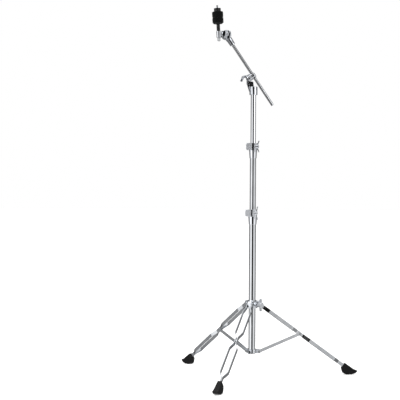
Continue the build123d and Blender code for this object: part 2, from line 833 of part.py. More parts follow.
collar_half_grip = strap_inset + strap_thickness / 2 + face_clearance
collar_hinge_pins = make_hinge_pins(
    collar_pivot_z,
    collar_half_grip,
    collar_pin_radius,
    collar_pin_head_radius,
    collar_pin_head_height,
)
collar_hinge_pins.part.label = "collar_hinge_pins"
export_step(collar_hinge_pins.part, "parts/collar_hinge_pins.step")

collar_bolt_face = facing(collar_bolt_angle, collar_pivot_z, collar_wing_start)
collar_wing_bolt = make_wing_bolt(
    Plane(collar_bolt_face.origin, x_dir=(0, 0, 1), z_dir=collar_bolt_face.z_dir),
    collar_hub_radius,
    collar_hub_length,
    collar_wing_span,
    bolt_radius,
    collar_wing_start - base_tube_radius - 2 * bolt_clearance,
)
collar_wing_bolt.part.label = "collar_wing_bolt"
export_step(collar_wing_bolt.part, "parts/collar_wing_bolt.step")

for number, angle in enumerate(leg_angles, start=1):
    for side, side_name in ((1, "left"), (-1, "right")):
        strap = make_strap(angle, side)
        strap.part.label = f"leg_{number}_strap_{side_name}"
        export_step(strap.part, f"parts/leg_{number}_strap_{side_name}.step")

    pinch_rivets = make_pinch_rivets(angle)
    pinch_rivets.part.label = f"leg_{number}_pinch_rivets"
    export_step(pinch_rivets.part, f"parts/leg_{number}_pinch_rivets.step")

    foot = make_foot(angle)
    foot.part.label = f"leg_{number}_foot"
    export_step(foot.part, f"parts/leg_{number}_foot.step")

    brace = make_brace(angle)
    brace.part.label = f"brace_{number}"
    export_step(brace.part, f"parts/brace_{number}.step")

# ======== middle and upper tubes ========
inner_tubes = [
    ("middle", middle_tube_bottom, middle_tube_length, middle_tube_radius, base_tube_radius),
    ("upper", upper_tube_bottom, upper_tube_length, upper_tube_radius, middle_tube_radius),
]
for name, bottom, length, radius, outer_tube_radius in inner_tubes:
    tube = make_inner_tube(bottom, length, radius)
    tube.part.label = f"{name}_tube"
    export_step(tube.part, f"parts/{name}_tube.step")

    guide_ring = make_guide_ring(bottom, radius, outer_tube_radius)
    guide_ring.part.label = f"{name}_tube_guide_ring"
    export_step(guide_ring.part, f"parts/{name}_tube_guide_ring.step")

    end_plug = make_end_plug(bottom, radius)
    end_plug.part.label = f"{name}_tube_end_plug"
    export_step(end_plug.part, f"parts/{name}_tube_end_plug.step")

# ======== boom holder ========
ferrule_top_z = upper_tube_top + ferrule_cap
teeth_back_y = holder_arm_front + tooth_height
holder_back_y = holder_arm_front + holder_arm_thickness
head_back_y = holder_arm_front - face_clearance - tooth_height
holder_front = Plane((column_x, holder_arm_front, upper_tube_top), x_dir=(1, 0, 0), z_dir=(0, -1, 0))


def make_holder_arm():
    """Bent rib from the ferrule's left side up to the holder's pivot."""
    with BuildPart() as arm:
        with BuildSketch(holder_front):
            with BuildLine():
                FilletPolyline(
                    (arm_foot_inset - ferrule_radius, -arm_foot_below_tube_top),
                    (-arm_left, arm_knee_above_tube_top),
                    (-arm_left, holder_pivot_above_tube),
                    radius=arm_bend_radius,
                )
            trace(line_width=arm_width)
        extrude(amount=-holder_arm_thickness)
    return arm.part


holder_arm = make_holder_arm()
base_teeth_face = Plane((holder_pivot.X, teeth_back_y, holder_pivot_z), x_dir=(1, 0, 0), z_dir=(0, -1, 0))
base_teeth = make_ratchet_teeth(base_teeth_face, ratchet_radius)
with BuildPart() as boom_holder_base:
    with BuildSketch(level(upper_tube_top - ferrule_below_tube_top)):
        Circle(ferrule_radius)
    extrude(amount=ferrule_below_tube_top + ferrule_cap)
    chamfer(boom_holder_base.faces().sort_by(Axis.Z)[-1].edges(), length=1)
    add(holder_arm)
    with BuildSketch(base_teeth_face):
        Circle(ratchet_radius)
    extrude(amount=teeth_back_y - holder_back_y)
    add(base_teeth)
    with BuildSketch(level(upper_tube_top - ferrule_below_tube_top)):
        Circle(upper_tube_radius + seat_clearance)
    extrude(amount=ferrule_below_tube_top, mode=Mode.SUBTRACT)
    with BuildSketch(base_teeth_face):
        Circle(bolt_radius + bolt_clearance)
    extrude(amount=2 * holder_arm_thickness, both=True, mode=Mode.SUBTRACT)
boom_holder_base.part.label = "boom_holder_base"
export_step(boom_holder_base.part, "parts/boom_holder_base.step")

with BuildPart() as holder_cushion:
    with BuildSketch(level(ferrule_top_z)):
        with Locations((-cushion_foot_left, 0)):
            Circle(cushion_foot_radius)
    with BuildSketch(level(ferrule_top_z + cushion_height)):
        with Locations((-cushion_top_left, 0)):
            Circle(cushion_top_radius)
    loft()
    fillet(holder_cushion.faces().sort_by(Axis.Z)[-1].edges(), radius=cushion_rounding)
holder_cushion.part.label = "holder_cushion"
export_step(holder_cushion.part, "parts/holder_cushion.step")

head_back = Plane((holder_pivot.X, head_back_y, holder_pivot_z), x_dir=rod_side, z_dir=(0, -1, 0))
head_teeth_face = Plane((holder_pivot.X, head_back_y, holder_pivot_z), x_dir=rod_side, z_dir=(0, 1, 0))
head_teeth = make_ratchet_teeth(head_teeth_face, ratchet_radius)
with BuildPart() as boom_holder_head:
    with BuildSketch(head_back):
        Polygon(
            (-head_below_pivot, -head_half_length),
            (rod_offset + head_above_rod, -head_half_length),
            (rod_offset + head_above_rod, head_half_length),
            (-head_below_pivot, head_half_length),
            align=None,
        )
        fillet(vertices().group_by(Axis.X)[0], radius=head_pivot_rounding)
        fillet(vertices().group_by(Axis.X)[-1], radius=head_rounding)
    extrude(amount=head_depth)
    nose_edges = boom_holder_head.edges().filter_by(Axis(rod_centre, rod_axis)).group_by(Axis.X)[-1]
    fillet(nose_edges, radius=head_nose_rounding)
    with BuildSketch(head_back):
        Circle(ratchet_radius)
    extrude(amount=head_disc_thickness)
    add(head_teeth)
    with BuildSketch(Plane(rod_centre, x_dir=rod_side, z_dir=rod_axis)):
        Circle(rod_radius + rod_bushing_wall + 2 * running_clearance)
    extrude(amount=2 * head_half_length, both=True, mode=Mode.SUBTRACT)
    slit_top = Vector(holder_pivot.X, rod_plane_y + head_slit / 2, holder_pivot_z)
    with BuildSketch(Plane(slit_top, x_dir=rod_side, z_dir=(0, -1, 0))):
        with Locations((rod_offset, 0)):
            Rectangle(
                2 * head_below_pivot + rod_offset, 4 * head_half_length, align=(Align.MAX, Align.CENTER)
            )
    extrude(amount=head_slit, mode=Mode.SUBTRACT)
    with BuildSketch(head_back):
        Circle(bolt_radius + bolt_clearance)
    extrude(amount=2 * head_depth, both=True, mode=Mode.SUBTRACT)
boom_holder_head.part.label = "boom_holder_head"
export_step(boom_holder_head.part, "parts/boom_holder_head.step")

holder_bolt_seat = holder_back_y + face_clearance
bolt_seat_place = Vector(holder_pivot.X, holder_bolt_seat, holder_pivot_z)
blade_direction = Vector(cos(radians(holder_blade_turn)), 0, sin(radians(holder_blade_turn)))
hub_plane = Plane(bolt_seat_place, x_dir=(1, 0, 0), z_dir=(0, 1, 0))
blade_place = bolt_seat_place + Vector(0, holder_blade_start + holder_blade_thickness, 0)
shank_length = holder_bolt_seat - head_back_y + head_depth - holder_shank_end
with BuildPart() as holder_wing_bolt:
    with BuildSketch(hub_plane):
        Circle(holder_hub_radius)
    extrude(amount=holder_hub_length)
    with BuildSketch(Plane(blade_place, x_dir=blade_direction, z_dir=(0, -1, 0))):
        with BuildLine():
            FilletPolyline(
                (-blade_reach, -blade_droop),
                (-blade_shoulder, blade_crown),
                (blade_shoulder, blade_crown),
                (blade_reach, -blade_droop),
                radius=blade_bend_radius,
            )
        trace(line_width=blade_width)
        fillet(vertices().group_by(Axis.Y)[0], radius=blade_tip_rounding)
    extrude(amount=holder_blade_thickness)
    with BuildSketch(hub_plane.offset(-shank_length)):
        Circle(bolt_radius)
    extrude(amount=shank_length)
holder_wing_bolt.part.label = "holder_wing_bolt"
export_step(holder_wing_bolt.part, "parts/holder_wing_bolt.step")

with BuildPart() as rod_bushing:
    with BuildSketch(Plane(rod_centre - rod_axis * head_half_length, x_dir=rod_side, z_dir=rod_axis)):
        Circle(rod_radius + running_clearance + rod_bushing_wall)
        Circle(rod_radius + running_clearance, mode=Mode.SUBTRACT)
        Rectangle(
            4 * rod_radius, bushing_slit, align=(Align.MAX, Align.CENTER), mode=Mode.SUBTRACT
        )
    extrude(amount=2 * head_half_length)
rod_bushing.part.label = "rod_bushing"
export_step(rod_bushing.part, "parts/rod_bushing.step")

# ======== boom rod and tilter ========
with BuildPart() as boom_rod:
    with BuildSketch(Plane(rod_centre - rod_axis * rod_tail_length, x_dir=rod_side, z_dir=rod_axis)):
        Circle(rod_radius)
    extrude(amount=rod_tail_length + socket_start + socket_depth)
    chamfer(boom_rod.edges().filter_by(GeomType.CIRCLE), length=rod_chamfer)
boom_rod.part.label = "boom_rod"
export_step(boom_rod.part, "parts/boom_rod.step")

socket_face_y = rod_plane_y + face_clearance / 2 + tooth_height
neck_face_y = rod_plane_y - face_clearance / 2 - tooth_height
socket_disc = Plane((tilter_centre.X, socket_face_y, tilter_centre.Z), x_dir=rod_side, z_dir=(0, -1, 0))
neck_disc = Plane((tilter_centre.X, neck_face_y, tilter_centre.Z), x_dir=tilter_side, z_dir=(0, -1, 0))
neck_teeth_face = Plane(neck_disc.origin, x_dir=tilter_side, z_dir=(0, 1, 0))
socket_teeth = make_ratchet_teeth(socket_disc, tilter_disc_radius)
neck_teeth = make_ratchet_teeth(neck_teeth_face, tilter_disc_radius)
socket_mouth = Plane(rod_centre + rod_axis * socket_start, x_dir=rod_side, z_dir=rod_axis)
with BuildPart() as tilter_socket:
    with BuildSketch(socket_mouth):
        Circle(socket_mouth_radius)
    with BuildSketch(socket_mouth.offset(socket_length)):
        Circle(socket_root_radius)
    loft()
    fillet(tilter_socket.edges().sort_by(Axis((0, 0, 0), rod_axis))[0], radius=1)
    with BuildSketch(socket_disc):
        Rectangle(
            socket_web_width,
            tilter_distance - socket_start - socket_depth,
            align=(Align.CENTER, Align.MAX),
        )
        Circle(tilter_disc_radius)
    extrude(amount=-tilter_disc_thickness)
    with BuildSketch(socket_disc):
        Circle(tilter_disc_radius + tilter_swing_gap)
    extrude(amount=4 * tilter_disc_thickness, mode=Mode.SUBTRACT)
    add(socket_teeth)
    with BuildSketch(socket_disc):
        Circle(tilter_bolt_radius + running_clearance)
    extrude(amount=2 * tilter_disc_thickness, both=True, mode=Mode.SUBTRACT)
    with BuildSketch(socket_mouth):
        Circle(rod_radius + seat_clearance)
    extrude(amount=socket_depth + seat_clearance, mode=Mode.SUBTRACT)
tilter_socket.part.label = "tilter_socket"
export_step(tilter_socket.part, "parts/tilter_socket.step")


def seat_level(height):
    """Plane square to the cymbal stem, `height` up its axis from the tilter's centre line."""
    return Plane(stem_foot + tilter_up * height, x_dir=tilter_side, z_dir=tilter_up)


with BuildPart() as tilter_neck:
    with BuildSketch(neck_disc):
        Circle(tilter_disc_radius)
    extrude(amount=tilter_disc_thickness)
    with BuildSketch(neck_disc):
        Polygon(
            (0, -post_below),
            (0, post_above),
            (-stem_offset, post_above),
            (-stem_offset, -post_below),
            align=None,
        )
    extrude(amount=tilter_web_thickness)
    with BuildSketch(seat_level(-post_below)):
        Circle(post_radius)
    extrude(amount=post_below + post_above)
    add(neck_teeth)
    with BuildSketch(seat_level(-post_below)):
        Circle(stem_core_radius + seat_clearance)
    extrude(amount=post_below + post_above, mode=Mode.SUBTRACT)
    with BuildSketch(neck_disc):
        Circle(tilter_bolt_radius + bolt_clearance)
    extrude(amount=2 * tilter_disc_thickness, both=True, mode=Mode.SUBTRACT)
tilter_neck.part.label = "tilter_neck"
export_step(tilter_neck.part, "parts/tilter_neck.step")

wing_slope = Vector(cos(radians(tilter_wing_angle)), 0, sin(radians(tilter_wing_angle)))
neck_front = Vector(0, -tilter_disc_thickness - face_clearance, 0)
tilter_wing_bolt = make_wing_bolt(
    Plane(neck_disc.origin + neck_front, x_dir=wing_slope, z_dir=(0, -1, 0)),
    tilter_hub_radius,
    tilter_hub_length,
    tilter_wing_span,
    tilter_bolt_radius,
    2 * tilter_disc_thickness + 2 * tooth_height,
)
tilter_wing_bolt.part.label = "tilter_wing_bolt"
export_step(tilter_wing_bolt.part, "parts/tilter_wing_bolt.step")

# ======== cymbal seat ========
step_height = post_above + sleeve_length
felt_seat = step_height + cup_height
upper_felt_seat = felt_seat + felt_height + felt_clearance
felt_top = upper_felt_seat + felt_height
sleeve_top = felt_top - sleeve_top_gap
washer_seat = felt_top + felt_clearance
nut_seat = washer_seat + top_washer_thickness + face_clearance
nut_top = nut_seat + top_nut_height + face_clearance

with BuildPart() as cymbal_stem:
    with BuildSketch(seat_level(-post_below - lock_nut_thread)):
        Circle(stud_radius)
    extrude(amount=lock_nut_thread)
    with BuildSketch(seat_level(-post_below)):
        Circle(stem_core_radius)
    extrude(amount=post_below + sleeve_top)
    with BuildSketch(seat_level(sleeve_top)):
        Circle(stud_root_radius)
    extrude(amount=nut_top - sleeve_top)
    with BuildSketch(seat_level(nut_top)):
        Circle(stud_radius)
    extrude(amount=stud_past_nut)
    chamfer(cymbal_stem.faces().sort_by(Axis((0, 0, 0), tilter_up))[-1].edges(), length=stud_chamfer)
cymbal_stem.part.label = "cymbal_stem"
export_step(cymbal_stem.part, "parts/cymbal_stem.step")

with BuildPart() as stem_lock_nut:
    with BuildSketch(seat_level(-post_below - post_nub_length)):
        Circle(post_nub_radius)
    extrude(amount=post_nub_length)
    bottom_face = stem_lock_nut.faces().sort_by(Axis((0, 0, 0), tilter_up))[0]
    fillet(bottom_face.edges(), radius=post_nub_radius / 2)
    with BuildSketch(seat_level(-post_below)):
        Circle(stud_radius + seat_clearance)
    extrude(amount=-lock_nut_thread - seat_clearance, mode=Mode.SUBTRACT)
stem_lock_nut.part.label = "stem_lock_nut"
export_step(stem_lock_nut.part, "parts/stem_lock_nut.step")

with BuildPart() as stem_sleeve:
    with BuildSketch(seat_level(post_above)):
        Circle(sleeve_radius)
    extrude(amount=sleeve_length)
    with BuildSketch(seat_level(step_height)):
        Circle(sleeve_upper_radius)
    extrude(amount=sleeve_top - step_height)
    with BuildSketch(seat_level(post_above)):
        Circle(stem_core_radius + seat_clearance)
    extrude(amount=sleeve_top - post_above, mode=Mode.SUBTRACT)
stem_sleeve.part.label = "stem_sleeve"
export_step(stem_sleeve.part, "parts/stem_sleeve.step")

with BuildPart() as cup_washer:
    with BuildSketch(seat_level(step_height)):
        Circle(cup_radius)
    extrude(amount=cup_height)
    lower_face = cup_washer.faces().sort_by(Axis((0, 0, 0), tilter_up))[0]
    chamfer(lower_face.edges(), length=cup_height / 2)
    with BuildSketch(seat_level(step_height)):
        Circle(sleeve_upper_radius + seat_clearance)
    extrude(amount=cup_height, mode=Mode.SUBTRACT)
cup_washer.part.label = "cup_washer"
export_step(cup_washer.part, "parts/cup_washer.step")

for name, seat in (("lower_felt", felt_seat), ("upper_felt", upper_felt_seat)):
    with BuildPart() as felt:
        with BuildSketch(seat_level(seat)):
            Circle(felt_radius)
            Circle(sleeve_upper_radius + felt_clearance, mode=Mode.SUBTRACT)
        extrude(amount=felt_height)
    felt.part.label = name
    export_step(felt.part, f"parts/{name}.step")

with BuildPart() as top_washer:
    with BuildSketch(seat_level(washer_seat)):
        Circle(top_washer_radius)
        Circle(stud_radius + bolt_clearance, mode=Mode.SUBTRACT)
    extrude(amount=top_washer_thickness)
top_washer.part.label = "top_washer"
export_step(top_washer.part, "parts/top_washer.step")

with BuildPart() as top_nut:
    with BuildSketch(seat_level(nut_seat)):
        Circle(top_nut_radius)
        with PolarLocations(top_nut_radius + nut_flute_radius / 2, nut_flute_count):
            Circle(nut_flute_radius, mode=Mode.SUBTRACT)
        Circle(stud_radius + running_clearance, mode=Mode.SUBTRACT)
    extrude(amount=top_nut_height)
top_nut.part.label = "top_nut"
export_step(top_nut.part, "parts/top_nut.step")
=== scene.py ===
import json
from math import ceil, cos, pi, radians, sin

import bmesh
import bpy
from mathutils import Matrix, Vector, noise

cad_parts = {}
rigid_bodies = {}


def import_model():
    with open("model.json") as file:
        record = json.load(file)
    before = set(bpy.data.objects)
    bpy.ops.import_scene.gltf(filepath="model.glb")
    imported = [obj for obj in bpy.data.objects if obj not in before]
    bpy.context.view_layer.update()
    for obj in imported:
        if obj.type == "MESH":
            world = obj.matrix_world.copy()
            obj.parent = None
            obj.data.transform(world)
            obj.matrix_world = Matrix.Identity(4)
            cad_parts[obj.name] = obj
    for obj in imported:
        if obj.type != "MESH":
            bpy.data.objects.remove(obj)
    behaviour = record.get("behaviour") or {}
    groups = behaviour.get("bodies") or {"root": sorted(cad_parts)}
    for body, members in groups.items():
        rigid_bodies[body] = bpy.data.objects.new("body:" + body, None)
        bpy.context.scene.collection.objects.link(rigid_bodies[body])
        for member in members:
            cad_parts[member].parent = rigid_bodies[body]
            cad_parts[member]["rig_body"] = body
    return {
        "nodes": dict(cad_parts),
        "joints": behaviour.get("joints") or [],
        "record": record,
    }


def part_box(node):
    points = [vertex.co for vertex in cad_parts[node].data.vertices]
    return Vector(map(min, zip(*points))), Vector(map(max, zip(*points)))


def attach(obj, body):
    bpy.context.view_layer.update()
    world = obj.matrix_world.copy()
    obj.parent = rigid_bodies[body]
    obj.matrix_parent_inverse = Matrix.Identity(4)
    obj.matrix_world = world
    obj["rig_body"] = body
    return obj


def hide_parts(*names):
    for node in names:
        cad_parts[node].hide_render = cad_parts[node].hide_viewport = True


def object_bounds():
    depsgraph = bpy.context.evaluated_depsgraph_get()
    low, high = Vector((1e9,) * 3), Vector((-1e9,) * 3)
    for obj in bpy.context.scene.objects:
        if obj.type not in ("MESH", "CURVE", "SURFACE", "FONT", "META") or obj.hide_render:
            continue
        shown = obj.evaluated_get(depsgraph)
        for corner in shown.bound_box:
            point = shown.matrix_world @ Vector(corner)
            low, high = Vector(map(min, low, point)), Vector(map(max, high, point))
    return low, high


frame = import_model()
cad_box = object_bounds()
nodes = frame["nodes"]
joints = {joint["name"]: joint for joint in frame["joints"]}
record = frame["record"]
slot_of = {row["node"]: row["material_slot"] for row in record["subparts"]}
column = (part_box("base_tube")[0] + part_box("base_tube")[1]) / 2
mm = 0.001
joining_distance = 0.002 * mm


# ======== materials ========


def colour(hex_code):
    """The linear colour of an sRGB hex code."""
    parts = [int(hex_code[i : i + 2], 16) / 255 for i in (0, 2, 4)]
    return [c / 12.92 if c <= 0.04045 else ((c + 0.055) / 1.055) ** 2.4 for c in parts] + [1.0]


def add(tree, kind, inputs=None, **settings):
    """Adds a node with its settings. An input is a value, or the output socket that feeds it."""
    made = tree.nodes.new(kind)
    for name, value in settings.items():
        setattr(made, name, value)
    for name, value in (inputs or {}).items():
        if isinstance(value, bpy.types.NodeSocket):
            tree.links.new(value, made.inputs[name])
        else:
            made.inputs[name].default_value = value
    return made


def ramp(tree, factor, *stops):
    """A colour ramp over the given (place, grey) stops."""
    made = add(tree, "ShaderNodeValToRGB", {"Fac": factor})
    elements = made.color_ramp.elements
    while len(elements) < len(stops):
        elements.new(0.5)
    for element, (place, grey) in zip(elements, stops):
        element.position = place
        element.color = (grey, grey, grey, 1)
    return made.outputs["Color"]


def start(name):
    """A new material with its shader and the coordinates of the piece, in metres."""
    made = bpy.data.materials.new(name)
    made.use_nodes = True
    tree = made.node_tree
    tree.nodes.clear()
    shader = add(tree, "ShaderNodeBsdfPrincipled")
    output = add(tree, "ShaderNodeOutputMaterial")
    tree.links.new(shader.outputs["BSDF"], output.inputs["Surface"])
    place = add(tree, "ShaderNodeTexCoord").outputs["Object"]
    return made, tree, shader, place


def speckle(tree, place, size, detail=2.0, roughness=0.5):
    """Noise whose lumps are about size metres across."""
    inputs = {"Vector": place, "Scale": 1 / size, "Detail": detail, "Roughness": roughness}
    return add(tree, "ShaderNodeTexNoise", inputs).outputs["Fac"]


def mix_colours(tree, factor, low, high):
    """Blends two hex colours by a factor."""
    made = add(tree, "ShaderNodeMix", {"Factor": factor}, data_type="RGBA")
    made.inputs[6].default_value = colour(low)
    made.inputs[7].default_value = colour(high)
    return made.outputs[2]


def between(tree, factor, low, high):
    """Turns a factor from 0 to 1 into a value from low to high."""
    inputs = {"Value": factor, "To Min": low, "To Max": high}
    return add(tree, "ShaderNodeMapRange", inputs).outputs["Result"]


def relief(tree, shader, height, depth):
    """Gives the shader a bump of the stated depth in metres."""
    bump = add(tree, "ShaderNodeBump", {"Height": height, "Distance": depth, "Strength": 1.0})
    tree.links.new(bump.outputs["Normal"], shader.inputs["Normal"])


def chrome(name, bright, dull, low, high, ripple, ripple_size):
    """Decorative chrome plate: a mirror whose faint ripple comes from the metal under it."""
    made, tree, shader, place = start(name)
    shader.inputs["Metallic"].default_value = 1.0
    cloud = speckle(tree, place, 60 * mm, 3.0)
    smudge = speckle(tree, place, 9 * mm, 4.0, 0.6)
    shade = ramp(tree, cloud, (0.35, 0), (0.65, 1))
    tree.links.new(mix_colours(tree, shade, dull, bright), shader.inputs["Base Color"])
    haze = ramp(tree, smudge, (0.45, 0), (0.75, 1))
    tree.links.new(between(tree, haze, low, high), shader.inputs["Roughness"])
    relief(tree, shader, speckle(tree, place, ripple_size, 1.0), ripple)
    return made


def drawn_tube():
    """Seamless tube, ground and chromed: the cleanest mirror of the stand, hazed here and there by
    hands, with the long soft waves of the drawing under the plate."""
    return chrome("drawn_tube_chrome", "CFD1D4", "C2C4C7", 0.03, 0.09, 0.003 * mm, 40 * mm)


def rolled_strip():
    """Steel strip, pressed, bent and chromed: softer than the tubes, with the grain of the rolling
    under the plate."""
    return chrome("rolled_strip_chrome", "C9CBCE", "B6B9BD", 0.14, 0.26, 0.01 * mm, 6 * mm)


def die_casting():
    """Zinc die casting, tumbled and chromed: bright, its flats left wavy by the tumbling. The waves
    are drawn steeper than real ones, so that they still show at the size of the whole stand."""
    return chrome("die_cast_chrome", "D2D4D8", "C0C4CA", 0.05, 0.12, 1.4 * mm, 20 * mm)


# The clamps' round bodies are turned up to this far from the column, and cast beyond.
clamp_turned_reach = 17.0 * mm
clamp_cast_from = 17.6 * mm
clamp_cast_haze = 0.44


def clamp_casting():
    """The clamps' castings: their round bodies are turned bright before plating, and the block and
    ears, which no lathe reaches, stay satin as cast."""
    made = chrome("clamp_cast_chrome", "E2E4E8", "D3D6DB", 0.06, 0.12, 0.008 * mm, 6 * mm)
    tree = made.node_tree
    shader = next(node for node in tree.nodes if node.type == "BSDF_PRINCIPLED")
    polish = shader.inputs["Roughness"].links[0].from_socket
    place = next(node for node in tree.nodes if node.type == "TEX_COORD").outputs["Object"]
    inputs = {"Vector": place, "Location": (-column.x, 0, 0), "Scale": (1, 1, 0)}
    level = add(tree, "ShaderNodeMapping", inputs).outputs["Vector"]
    out = add(tree, "ShaderNodeVectorMath", {0: level}, operation="LENGTH").outputs["Value"]
    inputs = {
        "Value": out,
        "From Min": clamp_turned_reach,
        "From Max": clamp_cast_from,
        "To Min": 0.0,
        "To Max": clamp_cast_haze,
    }
    satin = add(tree, "ShaderNodeMapRange", inputs).outputs["Result"]
    total = add(tree, "ShaderNodeMath", {0: polish, 1: satin}, operation="ADD").outputs["Value"]
    tree.links.new(total, shader.inputs["Roughness"])
    return made


def cast_wing():
    """Zinc wing, cast and chromed without polishing: satin, with smoother patches from handling."""
    return chrome("cast_wing_chrome", "DFE1E4", "CACDD2", 0.34, 0.46, 0.03 * mm, 4 * mm)


def turned_steel():
    """Turned steel under clear zinc: bluish grey in patches, with the fine grain of the plating."""
    made, tree, shader, place = start("zinc_plated_steel")
    shader.inputs["Metallic"].default_value = 1.0
    patch = speckle(tree, place, 4 * mm, 4.0, 0.6)
    tree.links.new(mix_colours(tree, patch, "9C9FA3", "C4C6C6"), shader.inputs["Base Color"])
    tree.links.new(between(tree, patch, 0.22, 0.4), shader.inputs["Roughness"])
    relief(tree, shader, speckle(tree, place, 0.6 * mm, 2.0), 0.01 * mm)
    return made


def oxide_steel():
    """Black oxide on pressed steel: thin, satin, and rubbed to grey on its rim."""
    made, tree, shader, place = start("black_oxide_steel")
    patch = speckle(tree, place, 3 * mm, 5.0, 0.65)
    worn = ramp(tree, patch, (0.5, 0), (0.8, 1))
    tree.links.new(mix_colours(tree, worn, "17181A", "3A3B3D"), shader.inputs["Base Color"])
    tree.links.new(between(tree, patch, 0.3, 0.5), shader.inputs["Roughness"])
    shader.inputs["Metallic"].default_value = 0.6
    relief(tree, shader, speckle(tree, place, 0.5 * mm, 2.0), 0.01 * mm)
    return made


def moulded_nylon():
    """Black nylon, moulded in a spark-eroded tool: fine satin grain of 0.6 mm with polished spots
    where it rubs."""
    made, tree, shader, place = start("moulded_black_nylon")
    rubbed = ramp(tree, speckle(tree, place, 8 * mm, 3.0), (0.45, 0), (0.75, 1))
    tree.links.new(mix_colours(tree, rubbed, "08090A", "131415"), shader.inputs["Base Color"])
    tree.links.new(between(tree, rubbed, 0.46, 0.32), shader.inputs["Roughness"])
    shader.inputs["Specular IOR Level"].default_value = 0.3
    relief(tree, shader, speckle(tree, place, 0.6 * mm, 2.0), 0.03 * mm)
    return made


def moulded_rubber():
    """Black rubber: dull, a little dusty in its hollows, with a grain of 1 mm."""
    made, tree, shader, place = start("moulded_black_rubber")
    dust = ramp(tree, speckle(tree, place, 12 * mm, 5.0, 0.6), (0.5, 0), (0.8, 1))
    tree.links.new(mix_colours(tree, dust, "020203", "0E0E10"), shader.inputs["Base Color"])
    tree.links.new(between(tree, dust, 0.5, 0.75), shader.inputs["Roughness"])
    shader.inputs["Specular IOR Level"].default_value = 0.22
    relief(tree, shader, speckle(tree, place, 1.0 * mm, 3.0), 0.08 * mm)
    return made


def pressed_felt():
    """Pressed black wool felt: matted fibres drawn 0.7 mm wide, with a soft sheen at its edge and
    grey lint on it."""
    made, tree, shader, place = start("pressed_black_felt")
    matted = speckle(tree, place, 0.7 * mm, 6.0, 0.75)
    lint = ramp(tree, speckle(tree, place, 2.5 * mm, 6.0, 0.8), (0.52, 0), (0.72, 1))
    tree.links.new(mix_colours(tree, lint, "040505", "131615"), shader.inputs["Base Color"])
    shader.inputs["Roughness"].default_value = 0.95
    shader.inputs["Specular IOR Level"].default_value = 0.1
    shader.inputs["Sheen Weight"].default_value = 0.05
    shader.inputs["Sheen Roughness"].default_value = 0.5
    relief(tree, shader, matted, 0.35 * mm)
    return made


def pale_floor():
    """Matt white paper under the stand. Its own faint glow keeps it as pale as the backdrop."""
    made, tree, shader, place = start("pale_floor_paper")
    grain = speckle(tree, place, 4 * mm, 2.0)
    tree.links.new(mix_colours(tree, grain, "F4F4F4", "F8F8F8"), shader.inputs["Base Color"])
    shader.inputs["Roughness"].default_value = 0.9
    shader.inputs["Specular IOR Level"].default_value = 0.1
    shader.inputs["Emission Color"].default_value = colour("FFFFFF")
    shader.inputs["Emission Strength"].default_value = 0.35
    return made


finishes = {
    "chromed_tube": drawn_tube(),
    "chromed_strap": rolled_strip(),
    "chromed_casting": die_casting(),
    "chromed_wing": cast_wing(),
    "bright_steel": turned_steel(),
    "black_steel": oxide_steel(),
    "black_nylon": moulded_nylon(),
    "black_rubber": moulded_rubber(),
    "black_felt": pressed_felt(),
}

for name, piece in nodes.items():
    piece.data.materials.clear()
    piece.data.materials.append(finishes[slot_of[name]])
clamp_finish = clamp_casting()
for name in ("lower_clamp", "upper_clamp"):
    nodes[name].data.materials[0] = clamp_finish
# The holder's wing is polished like the larger castings, and not left satin like the other wings.
nodes["holder_wing_bolt"].data.materials[0] = finishes["chromed_casting"]


# ======== pieces made again from their solids ========


class Line:
    """A line that pieces are round, from a joint's place and axis."""

    def __init__(self, joint):
        self.start = Vector(joints[joint]["pos_m"])
        self.axis = Vector(joints[joint]["axis"]).normalized()
        self.turn = self.axis.to_track_quat("Z", "Y").to_matrix().to_4x4()

    def place(self, along=0.0):
        """The matrix that stands a shape on this line, some way along it."""
        return Matrix.Translation(self.start + along * self.axis) @ self.turn

    def reach(self, node):
        """How a node lies on the line: lowest and highest place, smallest and largest radius."""
        offsets = [vertex.co - self.start for vertex in nodes[node].data.vertices]
        heights = [offset.dot(self.axis) for offset in offsets]
        radii = [(offset - height * self.axis).length for offset, height in zip(offsets, heights)]
        return min(heights), max(heights), min(radii), max(radii)


def settle(name, mesh, slot, body, stands_for=(), sharp_above=35):
    """Makes a mesh the finished piece that stands for CAD nodes, and gives it its finish."""
    mesh.name = name
    if sharp_above:
        mesh.shade_smooth()
        mesh.set_sharp_from_angle(angle=radians(sharp_above))
    mesh.materials.clear()
    mesh.materials.append(finishes[slot])
    piece = bpy.data.objects.new(name, mesh)
    bpy.context.scene.collection.objects.link(piece)
    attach(piece, body)
    if stands_for:
        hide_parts(*stands_for)
    return piece


def mesh_of(shape):
    """Turns a bmesh into a mesh whose faces point outwards."""
    bmesh.ops.recalc_face_normals(shape, faces=shape.faces)
    mesh = bpy.data.meshes.new("shape")
    shape.to_mesh(mesh)
    shape.free()
    mesh.shade_smooth()
    return mesh


def joined_copy(node):
    """A node's mesh as a bmesh, with its loose triangles joined."""
    shape = bmesh.new()
    shape.from_mesh(nodes[node].data)
    bmesh.ops.remove_doubles(shape, verts=shape.verts, dist=joining_distance)
    return shape


def applied(mesh, *modifiers):
    """The mesh after the given modifiers, each a kind with its settings."""
    maker = bpy.data.objects.new("maker", mesh)
    bpy.context.scene.collection.objects.link(maker)
    for kind, settings in modifiers:
        modifier = maker.modifiers.new(kind, kind)
        for name, value in settings.items():
            setattr(modifier, name, value)
    evaluated = maker.evaluated_get(bpy.context.evaluated_depsgraph_get())
    made = bpy.data.meshes.new_from_object(evaluated)
    bpy.data.objects.remove(maker)
    return made


# ---- castings with rounded edges

